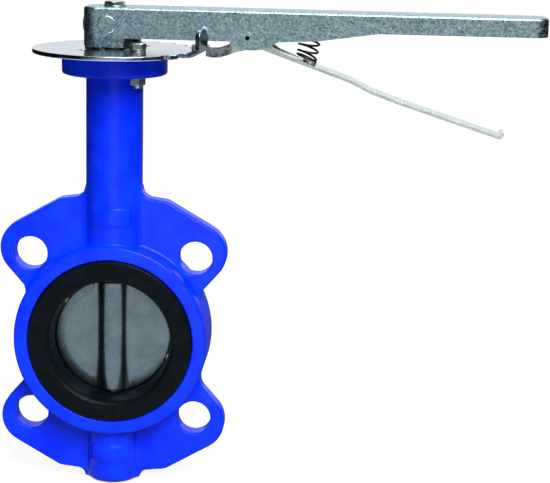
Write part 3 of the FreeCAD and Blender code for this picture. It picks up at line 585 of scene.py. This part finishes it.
def make_panel(name, offset, size, power):
    """A round softbox that faces the middle of the valve."""
    middle = (CAD_LOW + CAD_HIGH) / 2
    data = bpy.data.lights.new(name, "AREA")
    data.shape = "DISK"
    data.size = size
    data.energy = power
    panel = bpy.data.objects.new(name, data)
    bpy.context.scene.collection.objects.link(panel)
    panel.location = middle + offset
    panel.rotation_euler = (-offset).to_track_quat("-Z", "Y").to_euler()
    return panel


def make_world():
    """An even grey room that the camera sees as white."""
    world = bpy.data.worlds.new("studio")
    world.use_nodes = True
    tree = world.node_tree
    fill = tree.nodes["Background"]
    fill.inputs["Color"].default_value = (1, 1, 1, 1)
    fill.inputs["Strength"].default_value = WORLD_LIGHT
    seen = tree.nodes.new("ShaderNodeBackground")
    seen.inputs["Color"].default_value = (1, 1, 1, 1)
    seen.inputs["Strength"].default_value = 1.0
    rays = tree.nodes.new("ShaderNodeLightPath")
    choose = tree.nodes.new("ShaderNodeMixShader")
    tree.links.new(rays.outputs["Is Camera Ray"], choose.inputs[0])
    tree.links.new(fill.outputs[0], choose.inputs[1])
    tree.links.new(seen.outputs[0], choose.inputs[2])
    tree.links.new(choose.outputs[0], tree.nodes["World Output"].inputs["Surface"])
    bpy.context.scene.world = world


def make_lights():
    sun = bpy.data.lights.new("soft_sky", "SUN")
    sun.energy = SUN_STRENGTH
    sun.angle = SUN_SIZE
    sky = bpy.data.objects.new("soft_sky", sun)
    bpy.context.scene.collection.objects.link(sky)
    sky.rotation_euler = SUN_TURN
    make_panel("key_panel", KEY_OFFSET, KEY_SIZE, KEY_POWER)
    make_panel("top_panel", TOP_OFFSET, TOP_SIZE, TOP_POWER)
    make_panel("low_panel", LOW_OFFSET, LOW_SIZE, LOW_POWER).visible_glossy = False


# ---- build ------------------------------------------------------------------------------

make_camera()
make_stage()
make_world()
make_lights()

ENAMEL = blue_enamel()
RUBBER = black_rubber()
DISC = satin_iron("disc_metal", (0.15, 0.20, 0.24), (0.11, 0.155, 0.19), 0.27)
STEM = turned_steel("stem_steel", (0.55, 0.56, 0.57), (0.38, 0.39, 0.40), 0.22, (1, 1, 12))
BRONZE = turned_steel("bushing_bronze", (0.55, 0.36, 0.16), (0.36, 0.22, 0.10), 0.3, (1, 1, 12))
SHEET = spangled_zinc("zinc_sheet", (0.14, 0.25, 0.30), (0.49, 0.65, 0.71), 1.2 * MM, 0.33)
PLATE = bright_plate()
TRIGGER = spangled_zinc("zinc_trigger", (0.54, 0.62, 0.63), (0.72, 0.79, 0.79), 1.6 * MM, 0.26)
# near-black hub: painted shade, so the hub seen under the lever's skirt reads as a shadowed gap
HUB_SHADE = satin_iron("hub_iron", (0.030, 0.034, 0.038), (0.016, 0.018, 0.020), 0.5)
FASTENER = satin_iron("zinc_fastener", (0.60, 0.66, 0.62), (0.40, 0.46, 0.44), 0.26)
SPRING = black_spring()

CASTINGS = (
    ("valve_body", "blue_enamel", ENAMEL, 0.85 * MM, 7),
    ("disc", "disc_metal", DISC, 0.55 * MM, 5),
)
EASED = (
    ("seat_liner", "black_rubber", RUBBER, 0.5 * MM),
    ("notch_plate", "zinc_plate", PLATE, 0.25 * MM),
    ("lever_channel", "zinc_sheet", SHEET, 0.35 * MM),
    ("lever_hub", "hub_iron", HUB_SHADE, 0.5 * MM),
    ("trigger_lever", "zinc_trigger", TRIGGER, 0.3 * MM),
    ("hub_rivets", "zinc_sheet", SHEET, 0.2 * MM),
    ("trigger_pin", "zinc_sheet", SHEET, 0.15 * MM),
    ("lever_bolt", "zinc_fastener", FASTENER, 0.18 * MM),
    ("lever_washer", "zinc_fastener", FASTENER, 0.12 * MM),
    ("plate_bolts", "zinc_fastener", FASTENER, 0.15 * MM),
    ("plate_spring_washers", "zinc_fastener", FASTENER, 0.12 * MM),
    ("plate_nuts", "zinc_fastener", FASTENER, 0.15 * MM),
)
AS_MACHINED = {
    "upper_stem": STEM,
    "lower_stem": STEM,
    "split_ring": STEM,
    "retaining_circlip": SPRING,
    "thrust_washers": BRONZE,
    "upper_bushing": BRONZE,
    "middle_bushing": BRONZE,
    "lower_bushing": BRONZE,
    "stem_o_rings": RUBBER,
    "bottom_plug": FASTENER,
    "bottom_plug_seal": RUBBER,
}

for node, slot, material, voxel, rounds in CASTINGS:
    paint(cast(node, voxel, rounds), material)
finished = {}
for node, slot, material, width in EASED:
    finished[node] = eased(node, width)
    paint(finished[node], material)
# the pin's hollow is painted black: painted shade
paint_hollow_shade(finished["trigger_pin"], SPRING)
for node, material in AS_MACHINED.items():
    paint(NODES[node], material)
paint(make_spring(), SPRING)

bpy.context.scene.view_settings.view_transform = "Standard"
